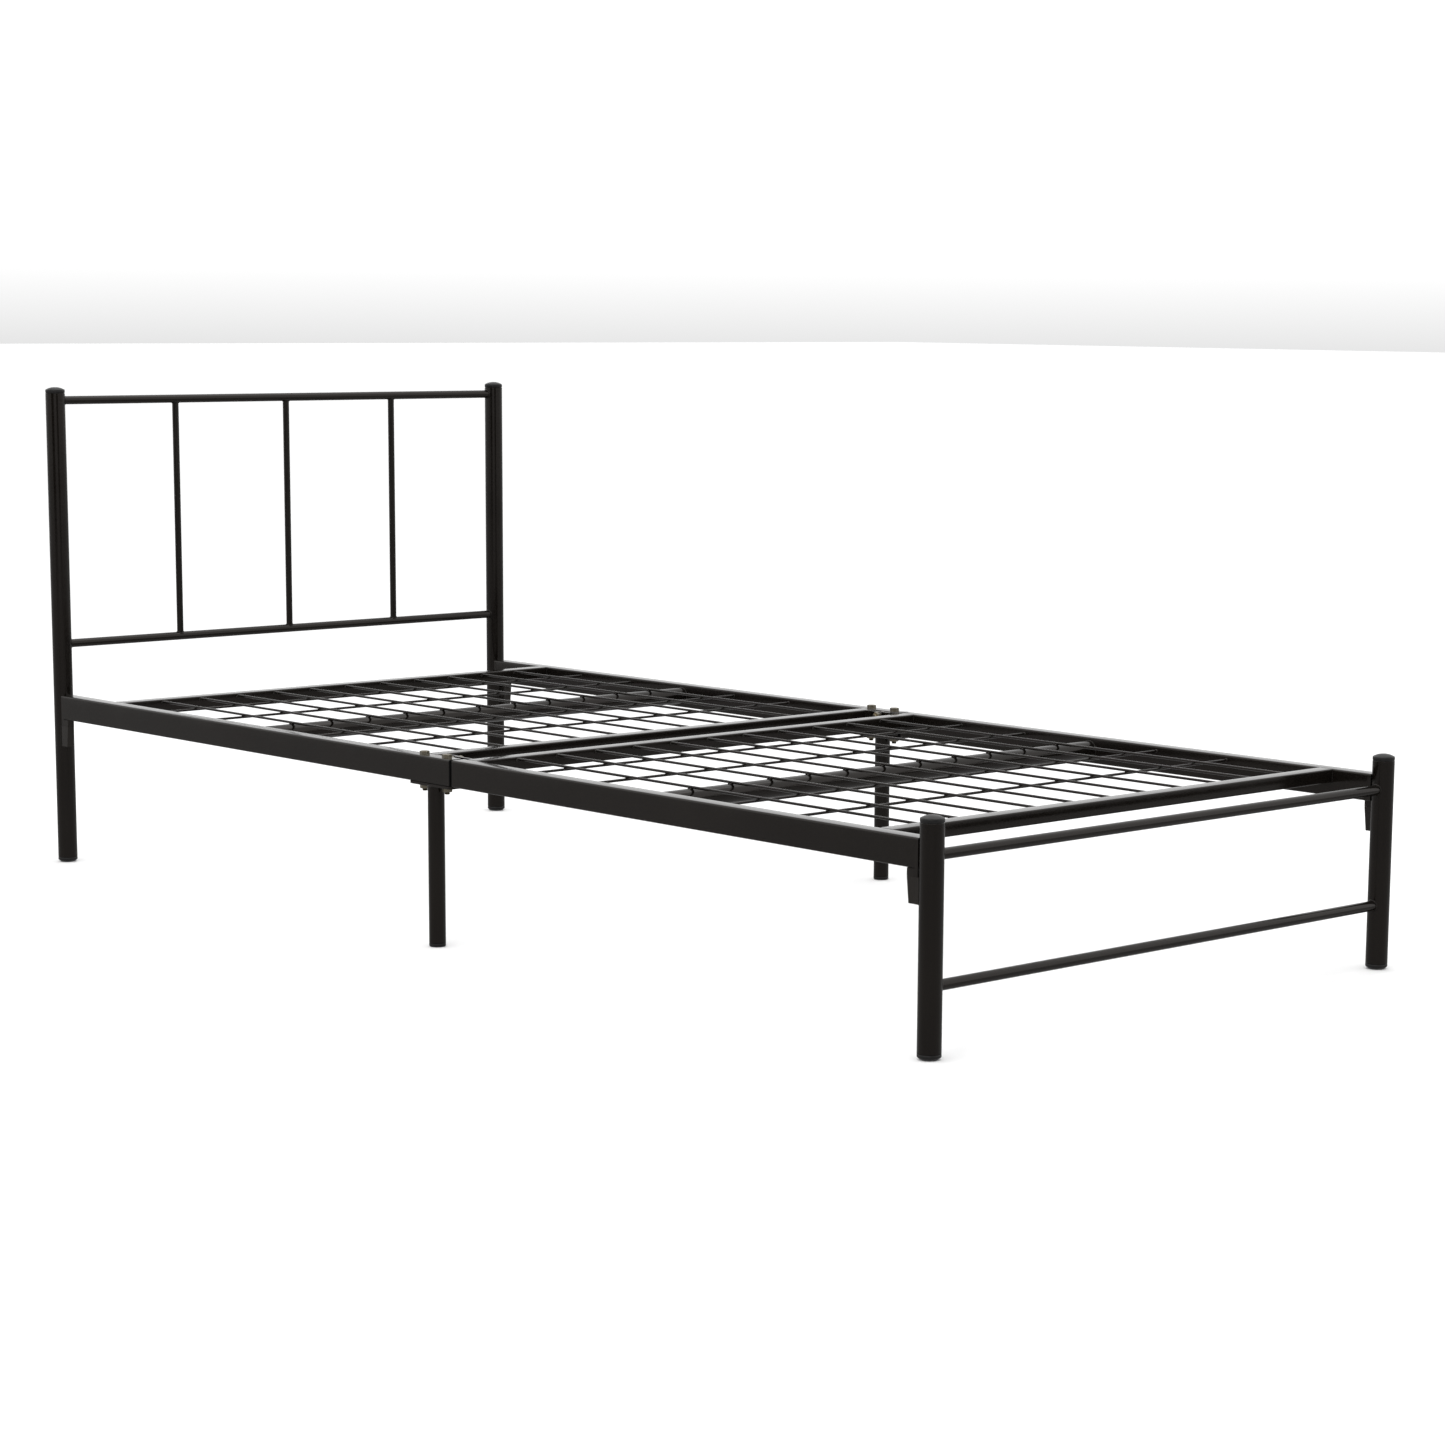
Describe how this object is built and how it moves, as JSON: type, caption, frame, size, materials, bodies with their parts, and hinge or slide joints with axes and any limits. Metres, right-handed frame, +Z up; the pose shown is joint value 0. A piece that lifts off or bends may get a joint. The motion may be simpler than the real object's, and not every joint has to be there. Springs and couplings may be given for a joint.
{
  "type": "metal bed frame",
  "caption": "Single metal bed frame: tall spindled headboard, low railed footboard and a wire-mesh deck in folding halves on bolted centre legs.",
  "frame": {"origin": "on the floor under the middle of the frame's length and width", "axes": "+Y along the bed towards the headboard, +X across the bed, +Z up"},
  "size_m": [0.957, 2.096, 0.8],
  "materials": {
    "black_powder_coat": "gloss black powder coat, slight orange peel",
    "black_plastic": "moulded black plastic, satin",
    "zinc_plated_steel": "yellow-passivated zinc plate"
  },
  "bodies": {
    "head_deck": {"head_side_rail_left": "black_powder_coat", "head_side_rail_right": "black_powder_coat", "head_end_crossbar": "black_powder_coat", "head_mid_crossbar": "black_powder_coat", "head_support_bar": "black_powder_coat", "head_long_wires": "black_powder_coat", "head_cross_wires": "black_powder_coat", "head_rail_tongues": "black_powder_coat", "head_rail_plugs": "black_plastic", "centre_leg_left": "black_powder_coat", "centre_leg_right": "black_powder_coat", "centre_leg_plates": "black_powder_coat", "centre_leg_plugs": "black_plastic", "centre_leg_bolts": "zinc_plated_steel", "centre_leg_nuts": "zinc_plated_steel", "hinge_lugs": "black_powder_coat", "hinge_bolts": "zinc_plated_steel", "hinge_nuts": "zinc_plated_steel"},
    "foot_deck": {"foot_side_rail_left": "black_powder_coat", "foot_side_rail_right": "black_powder_coat", "foot_end_crossbar": "black_powder_coat", "foot_mid_crossbar": "black_powder_coat", "foot_support_bar": "black_powder_coat", "foot_long_wires": "black_powder_coat", "foot_cross_wires": "black_powder_coat", "foot_rail_tongues": "black_powder_coat", "foot_rail_plugs": "black_plastic", "hinge_arms": "black_powder_coat"},
    "headboard": {"head_post_left": "black_powder_coat", "head_post_right": "black_powder_coat", "head_top_rail": "black_powder_coat", "head_lower_rail": "black_powder_coat", "head_spindles": "black_powder_coat", "head_post_caps": "black_plastic", "head_post_plugs": "black_plastic", "head_sockets": "black_powder_coat"},
    "footboard": {"foot_post_left": "black_powder_coat", "foot_post_right": "black_powder_coat", "foot_upper_rail": "black_powder_coat", "foot_lower_rail": "black_powder_coat", "foot_post_caps": "black_plastic", "foot_post_plugs": "black_plastic", "foot_sockets": "black_powder_coat"}
  },
  "joints": [
    {"name": "deck_fold", "type": "hinge", "parent": "head_deck", "child": "foot_deck", "pos_m": [0, -0.022, 0.2775], "axis": [-1, 0, 0], "range_deg": [0, 145]},
    {"name": "headboard_lift_off", "type": "slide", "parent": "head_deck", "child": "headboard", "axis": [0, 0, -1], "range_m": [0, 0.045]},
    {"name": "footboard_lift_off", "type": "slide", "parent": "foot_deck", "child": "footboard", "axis": [0, 0, -1], "range_m": [0, 0.045]}
  ]
}
